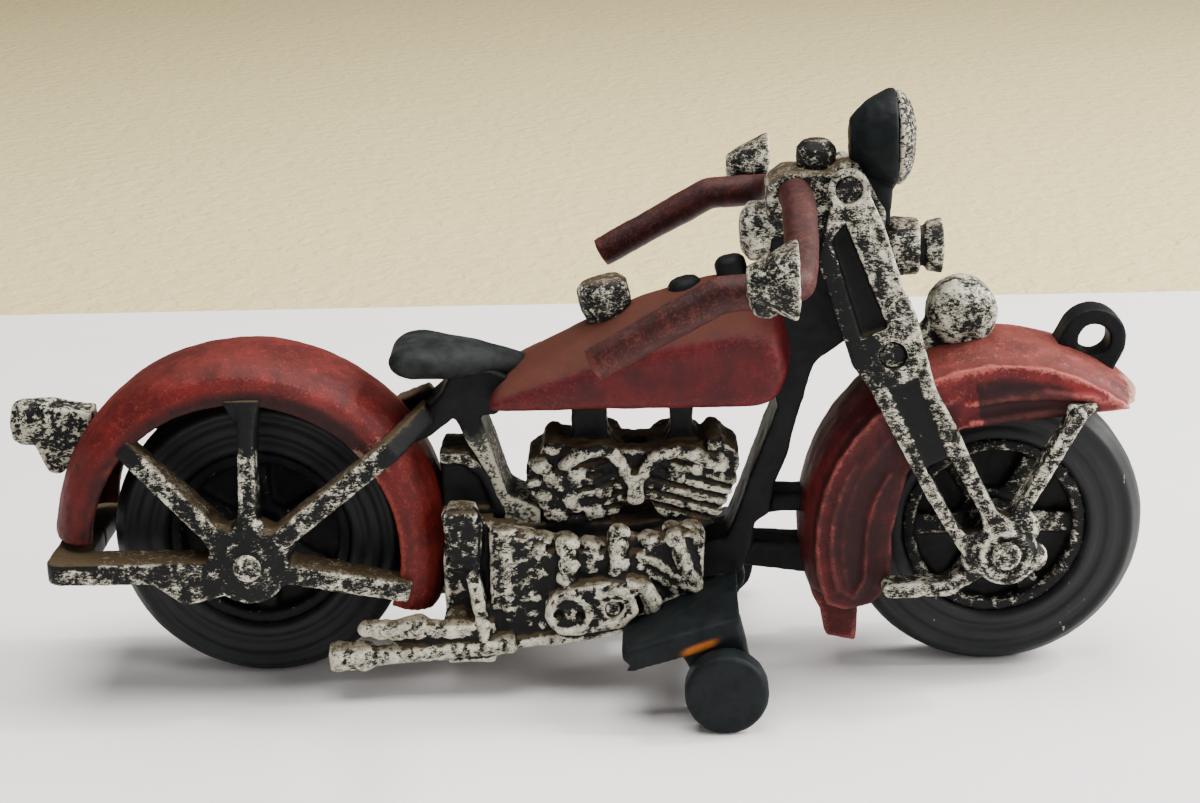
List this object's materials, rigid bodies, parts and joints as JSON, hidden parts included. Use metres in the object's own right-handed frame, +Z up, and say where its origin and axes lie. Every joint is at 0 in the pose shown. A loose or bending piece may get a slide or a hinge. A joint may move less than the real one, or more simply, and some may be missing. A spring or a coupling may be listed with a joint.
{
  "type": "toy motorcycle",
  "caption": "Cast toy motorcycle with spoked wheels in solid tyres, deep fenders, swept handlebar, headlamp, horn, tow ring and small stabiliser wheels.",
  "frame": {"origin": "on the ground, under the middle of the bounding box", "axes": "+X towards the front wheel, +Y towards the rider's left, +Z up"},
  "size_m": [0.2154, 0.1074, 0.1119],
  "materials": {
    "worn_red": "worn satin enamel over cast iron",
    "worn_silver": "rubbed silver-grey paint with black in the recesses",
    "worn_black": "worn satin black",
    "tyre_black": "satin, lightly scuffed"
  },
  "bodies": {
    "body": {"rear_fender_right": "worn_red", "rear_fender_left": "worn_red", "rear_stay_right": "worn_silver", "rear_stay_left": "worn_silver", "tank_right": "worn_red", "tank_left": "worn_red", "frame_right": "worn_black", "frame_left": "worn_black", "cylinders_right": "worn_silver", "cylinders_left": "worn_silver", "crankcase_right": "worn_silver", "crankcase_left": "worn_silver", "gearbox_right": "worn_silver", "gearbox_left": "worn_silver", "exhaust_right": "worn_silver", "exhaust_left": "worn_silver", "footboard_right": "worn_black", "footboard_left": "worn_black", "front_fender_right": "worn_red", "front_fender_left": "worn_red", "fork_blade_right": "worn_silver", "fork_blade_left": "worn_silver", "bar_lamp_right": "worn_silver", "bar_lamp_left": "worn_silver", "battery_box": "worn_black", "saddle": "worn_black", "tail_lamp": "worn_black", "tow_ring": "worn_black", "fuel_cap": "worn_silver", "tank_knobs": "worn_black", "steering_head": "worn_silver", "handlebar": "worn_red", "headlamp_shell": "worn_black", "headlamp_lens": "worn_silver", "horn": "worn_silver", "fender_lamp": "worn_silver", "damper_knob": "worn_black", "instrument_drum": "worn_silver", "front_axle": "worn_silver", "rear_axle": "worn_silver", "fork_pins": "worn_black", "body_rivet": "worn_silver"},
    "front_wheelset": {"front_wheel": "worn_silver", "front_tyre": "tyre_black"},
    "rear_wheelset": {"rear_wheel": "worn_silver", "rear_tyre": "tyre_black"},
    "stabiliser_wheelset": {"stabiliser_axle": "worn_black", "stabiliser_wheel_right": "worn_black", "stabiliser_wheel_left": "worn_black"}
  },
  "joints": [
    {"name": "rear_wheel_spin", "type": "hinge", "parent": "body", "child": "rear_wheelset", "pos_m": [-0.06125, 0, 0.0285], "axis": [0, 1, 0], "continuous": true},
    {"name": "front_wheel_spin", "type": "hinge", "parent": "body", "child": "front_wheelset", "pos_m": [0.07925, 0, 0.0285], "axis": [0, 1, 0], "continuous": true},
    {"name": "stabiliser_spin", "type": "hinge", "parent": "body", "child": "stabiliser_wheelset", "pos_m": [0.0272, 0, 0.0077], "axis": [0, 1, 0], "continuous": true}
  ]
}
